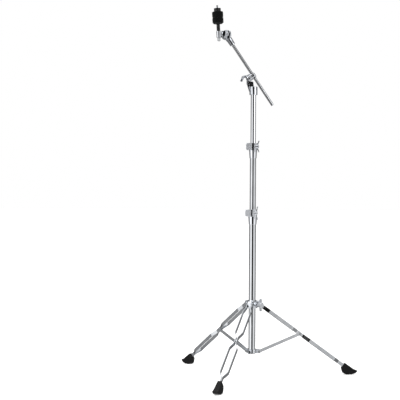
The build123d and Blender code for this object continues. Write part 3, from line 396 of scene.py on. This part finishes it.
# Castings with long plain edges, and the rounding that tumbling leaves on them.
rounded_castings = {
    "tilter_wing_bolt": 0.6 * mm,
    "boom_holder_base": 0.6 * mm,
    "holder_wing_bolt": 0.9 * mm,
    "lower_clamp": 0.6 * mm,
    "upper_clamp": 0.6 * mm,
    "lower_clamp_wing_nut": 0.6 * mm,
    "upper_clamp_wing_nut": 0.6 * mm,
    "leg_collar": 0.6 * mm,
    "collar_wing_bolt": 0.7 * mm,
    "bottom_hub": 0.4 * mm,
}
# The clamps have ring-shaped faces, which are split so that no face closes over the bore.
ring_faced = ["lower_clamp", "upper_clamp"]
# Castings with fine teeth and short edges, softened all over instead.
toothed_castings = ["tilter_neck", "tilter_socket", "boom_holder_head"]
casting_grain = 0.4 * mm
casting_softening = 4
casting_flatness = 1  # degrees between triangles of one flat face
casting_sharp_above = 35  # degrees between faces of an edge that is rounded
casting_shortest_edge = 0.15 * mm
casting_edge_steps = 3


def settle_casting(node, mesh):
    """Puts a softened casting in the place of its solid, with the same finish."""
    solid = nodes[node]
    name = f"{node}_casting"
    piece = settle(name, mesh, slot_of[node], solid["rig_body"], [node], sharp_above=None)
    piece.data.materials[0] = solid.data.materials[0]


for node, rounding in rounded_castings.items():
    shape = joined_copy(node)
    flat = radians(casting_flatness)
    bmesh.ops.dissolve_limit(shape, angle_limit=flat, verts=shape.verts, edges=shape.edges)
    bmesh.ops.dissolve_degenerate(shape, dist=casting_shortest_edge, edges=shape.edges)
    if node in ring_faced:
        bmesh.ops.connect_verts_concave(shape, faces=shape.faces)
    edges = {
        "width": rounding,
        "segments": casting_edge_steps,
        "angle_limit": radians(casting_sharp_above),
        "use_clamp_overlap": False,
    }
    rounded = applied(mesh_of(shape), ("BEVEL", edges), ("WEIGHTED_NORMAL", {"keep_sharp": True}))
    settle_casting(node, rounded)

for node in toothed_castings:
    softened = applied(
        mesh_of(joined_copy(node)),
        ("REMESH", {"mode": "VOXEL", "voxel_size": casting_grain, "use_smooth_shade": True}),
        ("SMOOTH", {"factor": 0.5, "iterations": casting_softening}),
    )
    settle_casting(node, softened)

# ---- geometry trees


def new_tree(name, sizes):
    """An empty geometry tree with named sizes, and the node that gives them."""
    tree = bpy.data.node_groups.new(name, "GeometryNodeTree")
    tree.interface.new_socket("Geometry", in_out="INPUT", socket_type="NodeSocketGeometry")
    tree.interface.new_socket("Geometry", in_out="OUTPUT", socket_type="NodeSocketGeometry")
    for size, value in sizes.items():
        kind = "NodeSocketInt" if isinstance(value, int) else "NodeSocketFloat"
        tree.interface.new_socket(size, in_out="INPUT", socket_type=kind).default_value = value
    return tree, add(tree, "NodeGroupInput").outputs


def sum_of(tree, operation, *values):
    """The result of a sum on sockets or numbers."""
    made = add(tree, "ShaderNodeMath", operation=operation)
    for place, value in zip(made.inputs, values):
        if isinstance(value, bpy.types.NodeSocket):
            tree.links.new(value, place)
        else:
            place.default_value = value
    return made.outputs["Value"]


def close_tree(tree, geometry, slot):
    """Ends a geometry tree with plain geometry of one finish."""
    real = add(tree, "GeometryNodeRealizeInstances", {"Geometry": geometry}).outputs["Geometry"]
    finished = add(tree, "GeometryNodeSetMaterial", {"Geometry": real, "Material": finishes[slot]})
    add(tree, "NodeGroupOutput", {"Geometry": finished.outputs["Geometry"]})


def grown(tree, base=None, **sizes):
    """The plain mesh that a geometry tree makes, from a base mesh where it needs one."""
    maker = bpy.data.objects.new("maker", base or bpy.data.meshes.new("seed"))
    bpy.context.scene.collection.objects.link(maker)
    modifier = maker.modifiers.new("maker", "NODES")
    modifier.node_group = tree
    for item in tree.interface.items_tree:
        if item.in_out == "INPUT" and item.name in sizes:
            modifier[item.identifier] = sizes[item.name]
    evaluated = maker.evaluated_get(bpy.context.evaluated_depsgraph_get())
    made = bpy.data.meshes.new_from_object(evaluated)
    bpy.data.objects.remove(maker)
    return made


def wrapped_grid(tree, around, rows, length, radius):
    """Wraps a grid round z: radius is a function of the turn (0 to 1) and the height in metres."""
    grid = add(tree, "GeometryNodeMeshGrid", {"Size X": 1.0, "Size Y": 1.0})
    for name, value in (("Vertices X", around), ("Vertices Y", rows)):
        tree.links.new(value, grid.inputs[name])
    place = add(tree, "GeometryNodeInputPosition").outputs["Position"]
    axes = add(tree, "ShaderNodeSeparateXYZ", {"Vector": place}).outputs
    turn = sum_of(tree, "ADD", axes["X"], 0.5)
    height = sum_of(tree, "MULTIPLY", sum_of(tree, "ADD", axes["Y"], 0.5), length)
    out = radius(turn, height)
    angle = sum_of(tree, "MULTIPLY", turn, 2 * pi)
    across = sum_of(tree, "MULTIPLY", out, sum_of(tree, "COSINE", angle))
    along = sum_of(tree, "MULTIPLY", out, sum_of(tree, "SINE", angle))
    spot = add(tree, "ShaderNodeCombineXYZ", {"X": across, "Y": along, "Z": height})
    inputs = {"Geometry": grid.outputs["Mesh"], "Position": spot.outputs["Vector"]}
    moved = add(tree, "GeometryNodeSetPosition", inputs).outputs["Geometry"]
    inputs = {"Geometry": moved, "Distance": joining_distance}
    return add(tree, "GeometryNodeMergeByDistance", inputs).outputs["Geometry"]


def thread_tree():
    """A rolled screw thread that stands on z = 0: one ridge that climbs a pitch each turn and runs
    out in a chamfer at the free end."""
    sizes = {
        "Around": 33,
        "Rows": 60,
        "Radius": 3 * mm,
        "Depth": 0.5 * mm,
        "Pitch": 1 * mm,
        "Length": 10 * mm,
    }
    tree, given = new_tree("rolled_thread", sizes)

    def radius(turn, height):
        climb = sum_of(tree, "SUBTRACT", sum_of(tree, "DIVIDE", height, given["Pitch"]), turn)
        wave = sum_of(tree, "MULTIPLY", sum_of(tree, "PINGPONG", climb, 0.5), 2.0)
        dip = sum_of(tree, "MULTIPLY", wave, given["Depth"])
        ridge = sum_of(tree, "SUBTRACT", given["Radius"], dip)
        left = sum_of(tree, "SUBTRACT", given["Length"], height)
        root = sum_of(tree, "SUBTRACT", given["Radius"], given["Depth"])
        return sum_of(tree, "MINIMUM", ridge, sum_of(tree, "ADD", root, left))

    grid = wrapped_grid(tree, given["Around"], given["Rows"], given["Length"], radius)
    close_tree(tree, grid, "bright_steel")
    return tree


# ---- felts

felt_rounding = 2.4 * mm
felt_swell = 0.5 * mm
felt_lump = 0.35 * mm
felt_spacing = 1.6 * mm
felt_steps = 120
felt_lump_size = 6 * mm
felt_bore_edge = 6 * mm  # the ring round the bore that the stem keeps in shape
felt_corner_steps = 6
stem_line = Line("top_nut_turn")


def rounded_section(inner, outer, height, rounding, spacing):
    """Points round the section of a ring that stands on z = 0, as (radius, height) vectors."""
    corners = (
        (outer - rounding, rounding, -90),
        (outer - rounding, height - rounding, 0),
        (inner + rounding, height - rounding, 90),
        (inner + rounding, rounding, 180),
    )
    loop = []
    for middle, level, first in corners:
        for i in range(felt_corner_steps + 1):
            turn = radians(first + 90 / felt_corner_steps * i)
            loop.append(Vector((middle + rounding * cos(turn), level + rounding * sin(turn))))
    filled = []
    for here, there in zip(loop, loop[1:] + loop[:1]):
        steps = max(1, ceil((there - here).length / spacing))
        filled += [here.lerp(there, i / steps) for i in range(steps)]
    return filled


def turned(section, steps):
    """The closed ring that a section makes when it is turned round z."""
    shape = bmesh.new()
    rings = []
    for i in range(steps):
        turn = 2 * pi * i / steps
        rings.append([shape.verts.new((p.x * cos(turn), p.x * sin(turn), p.y)) for p in section])
    for ring, following in zip(rings, rings[1:] + rings[:1]):
        for j in range(len(ring)):
            shape.faces.new((ring[j - 1], following[j - 1], following[j], ring[j]))
    return shape


def make_felt(node, body, seed):
    """A disc of pressed felt: soft round edges, a wall that swells between them and the lumps and
    hollows of hand-cut stock."""
    low, high, bore, radius = stem_line.reach(node)
    height = high - low
    shape = turned(rounded_section(bore, radius, height, felt_rounding, felt_spacing), felt_steps)
    for vert in shape.verts:
        out = Vector((vert.co.x, vert.co.y, 0))
        spot = vert.co / felt_lump_size + Vector((seed, 0, 0))
        lump = 0.5 + 0.5 * noise.fractal(spot, 0.6, 2.0, 3)
        end = abs(2 * vert.co.z / height - 1)
        free = min(1.0, (out.length - bore) / felt_bore_edge)
        vert.co -= out.normalized() * (end**2 * felt_swell + lump * felt_lump) * free
        vert.co.z += (1 if vert.co.z < height / 2 else -1) * lump * felt_lump * free * end
    shape.transform(stem_line.place(low))
    piece = settle(f"{node}_pressed", mesh_of(shape), "black_felt", body, [node], sharp_above=80)
    return piece


lower_felt = make_felt("lower_felt", "tilter", seed=3)
upper_felt = make_felt("upper_felt", "upper_felt", seed=11)

# ---- fibres that stand off the felts

fibre_length = 0.9 * mm
fibre_radius = 0.05 * mm
fibres_per_square_metre = 260000.0


def fibre_tree():
    """Loose wool fibres scattered over a felt, each a thin bent needle at its own slant."""
    sizes = {
        "Fibres per square metre": fibres_per_square_metre,
        "Length": fibre_length,
        "Radius": fibre_radius,
    }
    tree, given = new_tree("loose_fibres", sizes)
    inputs = {
        "Mesh": given["Geometry"],
        "Density": given["Fibres per square metre"],
        "Seed": 5,
    }
    spots = add(tree, "GeometryNodeDistributePointsOnFaces", inputs, distribute_method="RANDOM")
    inputs = {"Resolution": 3, "Start": (0, 0, 0), "Middle": (0, 0.1, 0.6), "End": (0, 0.5, 1)}
    bend = add(tree, "GeometryNodeCurveQuadraticBezier", inputs).outputs["Curve"]
    scale = add(tree, "ShaderNodeCombineXYZ", {axis: given["Length"] for axis in "XYZ"})
    inputs = {"Geometry": bend, "Scale": scale.outputs["Vector"]}
    line = add(tree, "GeometryNodeTransform", inputs).outputs["Geometry"]
    inputs = {"Resolution": 3, "Radius": given["Radius"]}
    section = add(tree, "GeometryNodeCurvePrimitiveCircle", inputs)
    inputs = {"Curve": line, "Profile Curve": section.outputs["Curve"], "Fill Caps": True}
    needle = add(tree, "GeometryNodeCurveToMesh", inputs).outputs["Mesh"]
    turn = add(tree, "FunctionNodeRandomValue", data_type="FLOAT_VECTOR")
    turn.inputs["Min"].default_value = (-0.9, -0.9, -pi)
    turn.inputs["Max"].default_value = (0.9, 0.9, pi)
    turn.inputs["Seed"].default_value = 7
    slant = add(tree, "FunctionNodeRotateRotation", rotation_space="LOCAL")
    tree.links.new(spots.outputs["Rotation"], slant.inputs["Rotation"])
    tree.links.new(turn.outputs["Value"], slant.inputs["Rotate By"])
    size = add(tree, "FunctionNodeRandomValue", {"Seed": 9}, data_type="FLOAT")
    inputs = {
        "Points": spots.outputs["Points"],
        "Instance": needle,
        "Rotation": slant.outputs["Rotation"],
    }
    placed = add(tree, "GeometryNodeInstanceOnPoints", inputs)
    tree.links.new(size.outputs[1], placed.inputs["Scale"])
    close_tree(tree, placed.outputs["Instances"], "black_felt")
    return tree


loose_fibres = fibre_tree()
for felt, body in ((lower_felt, "tilter"), (upper_felt, "upper_felt")):
    fibres = grown(loose_fibres, felt.data.copy())
    settle(f"{felt.name}_fibres", fibres, "black_felt", body, sharp_above=80)

# ---- screw threads

rolled_thread = thread_tree()
thread_depth_share = 0.54  # the depth of a thread over its pitch
thread_rows_per_pitch = 6


def thread_end(node, body, line, radius, pitch, length):
    """Makes a screw again with a rolled thread on the last of its length."""
    low, high, _, _ = line.reach(node)
    cut = line.start + (high - length) * line.axis
    shape = joined_copy(node)
    geometry = shape.verts[:] + shape.edges[:] + shape.faces[:]
    bmesh.ops.bisect_plane(
        shape, geom=geometry, plane_co=cut, plane_no=line.axis, clear_outer=True
    )
    bmesh.ops.holes_fill(shape, edges=[edge for edge in shape.edges if edge.is_boundary])
    depth = thread_depth_share * pitch
    rows = ceil(thread_rows_per_pitch * length / pitch)
    sizes = {"Radius": radius, "Depth": depth, "Pitch": pitch, "Length": length}
    thread = grown(rolled_thread, Rows=rows, **sizes)
    thread.transform(line.place(high - length))
    shape.from_mesh(thread)
    bmesh.ops.holes_fill(shape, edges=[edge for edge in shape.edges if edge.is_boundary])
    settle(f"{node}_threaded", mesh_of(shape), slot_of[node], body, [node])


thread_end("cymbal_stem", "tilter", stem_line, 3.0 * mm, 1.0 * mm, 9.8 * mm)
for clamp, body in (("lower", "base"), ("upper", "middle_tube")):
    bolt_line = Line(f"{clamp}_wing_nut_turn")
    thread_end(f"{clamp}_clamp_bolt", body, bolt_line, 4.0 * mm, 1.25 * mm, 1.4 * mm)

# ---- rubber feet

foot_grain = 0.9 * mm
foot_softening = 14

for i in (1, 2, 3):
    boot = applied(
        mesh_of(joined_copy(f"leg_{i}_foot")),
        ("REMESH", {"mode": "VOXEL", "voxel_size": foot_grain}),
        ("SMOOTH", {"factor": 0.5, "iterations": foot_softening}),
    )
    settle(f"leg_{i}_boot", boot, "black_rubber", f"leg_{i}", [f"leg_{i}_foot"], sharp_above=80)


# ======== studio ========

# Where the camera stands, from the column: metres, and degrees from -Y towards +X.
camera_reach = 3.7809
camera_bearing = -12.473
camera_height = 0.6565
# Which way it looks, in degrees, and its lens in millimetres.
view_heading = 9.586
view_pitch = -0.3094
view_roll = 0.3495
camera_lens = 94.18

# The grey of the room's walls, by the angle round the stand in degrees from the camera's side
# towards its right.
room_walls = (
    (-176, 0.16),
    (-165, 0.12),
    (-115, 0.16),
    (-92, 0.32),
    (-80, 0.6),
    (-66, 1.0),
    (-26, 1.0),
    (-24, 0.95),
    (-22, 0.002),
    (22, 0.002),
    (24, 0.55),
    (35, 0.6),
    (55, 0.9),
    (62, 0.8),
    (85, 0.4),
    (112, 0.2),
    (165, 0.12),
    (176, 0.16),
)
# The grey above and below the walls, by the steepness of the way there: dark flags, then a light.
steep_greys = ((0.3, 0.2), (0.62, 0.16), (0.74, 0.85), (1.0, 0.9))
walls_end = 0.3
flags_start = 0.55
room_light = 1.5


def aim(heading, pitch, roll):
    """The camera's turn for a heading from +Y towards +X, a pitch and a roll, in degrees."""
    h, p, r = radians(heading), radians(pitch), radians(roll)
    forward = Vector((sin(h) * cos(p), cos(h) * cos(p), sin(p)))
    level = Vector((cos(h), -sin(h), 0))
    above = level.cross(forward)
    right = level * cos(r) + above * sin(r)
    up = right.cross(forward)
    return Matrix((right, up, -forward)).transposed()


def make_camera():
    """The camera, a little above the lower clamp, and well to the left of the stand."""
    lens = bpy.data.cameras.new("camera")
    lens.sensor_width = 36
    lens.lens = camera_lens
    lens.clip_end = 100
    made = bpy.data.objects.new("camera", lens)
    bpy.context.scene.collection.objects.link(made)
    bearing = radians(camera_bearing)
    place = Vector((column.x, 0, camera_height))
    place += camera_reach * Vector((sin(bearing), -cos(bearing), 0))
    turn = aim(view_heading, view_pitch, view_roll).to_4x4()
    made.matrix_world = Matrix.Translation(place) @ turn
    bpy.context.scene.camera = made


def make_studio():
    """Even white surroundings for the eye, and for what the metal mirrors a banded room: black
    behind the camera, white boxes at both sides of that, and dark grey walls beyond."""
    world = bpy.data.worlds.new("studio")
    bpy.context.scene.world = world
    world.use_nodes = True
    tree = world.node_tree
    tree.nodes.clear()
    direction = add(tree, "ShaderNodeTexCoord").outputs["Generated"]
    bearing = radians(camera_bearing)
    to_camera = (sin(bearing), -cos(bearing), 0)
    to_right = (cos(bearing), sin(bearing), 0)
    shares = []
    for axis in (to_right, to_camera):
        product = add(tree, "ShaderNodeVectorMath", operation="DOT_PRODUCT")
        tree.links.new(direction, product.inputs[0])
        product.inputs[1].default_value = axis
        shares.append(product.outputs["Value"])
    angle = add(tree, "ShaderNodeMath", operation="ARCTAN2")
    tree.links.new(shares[0], angle.inputs[0])
    tree.links.new(shares[1], angle.inputs[1])
    inputs = {"Value": angle.outputs["Value"], "From Min": -pi, "From Max": pi}
    turn = add(tree, "ShaderNodeMapRange", inputs).outputs["Result"]
    walls = [(degrees_round / 360 + 0.5, grey) for degrees_round, grey in room_walls]
    room = ramp(tree, turn, *walls)
    rise = add(tree, "ShaderNodeSeparateXYZ", {"Vector": direction}).outputs["Z"]
    steepness = add(tree, "ShaderNodeMath", operation="ABSOLUTE")
    tree.links.new(rise, steepness.inputs[0])
    steep = steepness.outputs["Value"]
    beyond = ramp(tree, steep, (walls_end, 0), (flags_start, 1))
    mixed = add(tree, "ShaderNodeMix", {"Factor": beyond}, data_type="RGBA")
    tree.links.new(room, mixed.inputs[6])
    tree.links.new(ramp(tree, steep, *steep_greys), mixed.inputs[7])
    inputs = {"Color": mixed.outputs[2], "Strength": room_light}
    mirrored = add(tree, "ShaderNodeBackground", inputs)
    plain = add(tree, "ShaderNodeBackground", {"Color": (1, 1, 1, 1), "Strength": 1.0})
    glossy = add(tree, "ShaderNodeLightPath").outputs["Is Glossy Ray"]
    blend = add(tree, "ShaderNodeMixShader", {"Fac": glossy})
    tree.links.new(plain.outputs["Background"], blend.inputs[1])
    tree.links.new(mirrored.outputs["Background"], blend.inputs[2])
    output = add(tree, "ShaderNodeOutputWorld")
    tree.links.new(blend.outputs["Shader"], output.inputs["Surface"])


def make_light(name, side, height, reach, size, power):
    """A soft square light aimed at the middle of the stand."""
    lamp = bpy.data.lights.new(name, "AREA")
    lamp.size = size
    lamp.energy = power
    made = bpy.data.objects.new(name, lamp)
    bpy.context.scene.collection.objects.link(made)
    turn = radians(camera_bearing + side)
    place = Vector((reach * sin(turn), -reach * cos(turn), height))
    middle = (cad_box[0] + cad_box[1]) / 2
    made.location = place
    made.rotation_euler = (middle - place).to_track_quat("-Z", "Y").to_euler()


def make_floor():
    """A wide sheet of paper, ending far outside the view."""
    mesh = bpy.data.meshes.new("floor")
    shape = bmesh.new()
    bmesh.ops.create_circle(shape, cap_ends=True, segments=96, radius=40)
    shape.to_mesh(mesh)
    shape.free()
    made = bpy.data.objects.new("floor", mesh)
    bpy.context.scene.collection.objects.link(made)
    made.data.materials.append(pale_floor())
    made.visible_glossy = False


make_camera()
make_studio()
make_light("key_box", -55, 2.6, 2.8, 1.6, 45)
make_light("fill_box", 60, 1.6, 3.0, 1.4, 18)
make_floor()
bpy.context.scene.view_settings.view_transform = "Standard"
